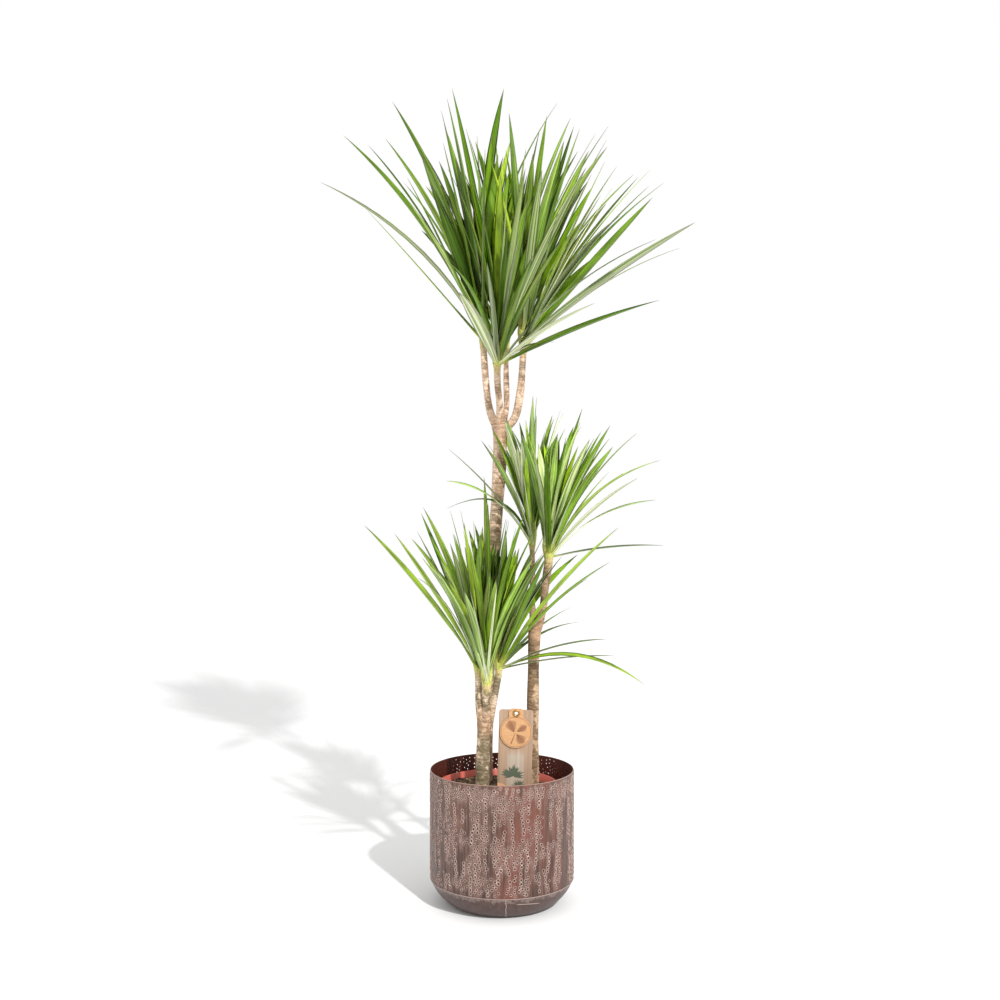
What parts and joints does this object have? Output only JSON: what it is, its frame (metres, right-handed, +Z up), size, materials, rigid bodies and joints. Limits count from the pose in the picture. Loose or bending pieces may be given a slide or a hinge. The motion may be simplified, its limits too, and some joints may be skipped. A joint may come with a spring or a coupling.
{
  "type": "potted dracaena",
  "caption": "Potted dracaena: forked bare canes of different heights with fans of narrow leaves, in a plastic pot inside a round sheet-metal planter with a paper label.",
  "frame": {"origin": "centre of the planter's flat floor, on the surface it stands on", "axes": "+Z up along the planter's axis, -Y towards the front where the label stands, +X to the right seen from the front"},
  "size_m": [0.6409, 0.7688, 1.4165],
  "materials": {
    "planter_metal": "satin",
    "planter_pan": "satin",
    "terracotta_plastic": "matte",
    "potting_soil": "matte",
    "cane_bark": "matte",
    "leaf_blade": "satin",
    "label_card": "matte",
    "label_wood": "satin",
    "label_brass": "polished"
  },
  "bodies": {
    "root": {"planter_wall": "planter_metal", "planter_base": "planter_pan", "nursery_pot": "terracotta_plastic", "soil": "potting_soil", "tall_cane": "cane_bark", "mid_cane": "cane_bark", "short_cane": "cane_bark", "leaves_tall_left": "leaf_blade", "leaves_tall_front": "leaf_blade", "leaves_tall_back": "leaf_blade", "leaves_tall_right": "leaf_blade", "leaves_mid_left": "leaf_blade", "leaves_mid_right": "leaf_blade", "leaves_short_left": "leaf_blade", "leaves_short_front": "leaf_blade", "leaves_short_right": "leaf_blade", "label_card": "label_card", "label_disc": "label_wood", "label_eyelet": "label_brass"}
  },
  "joints": []
}
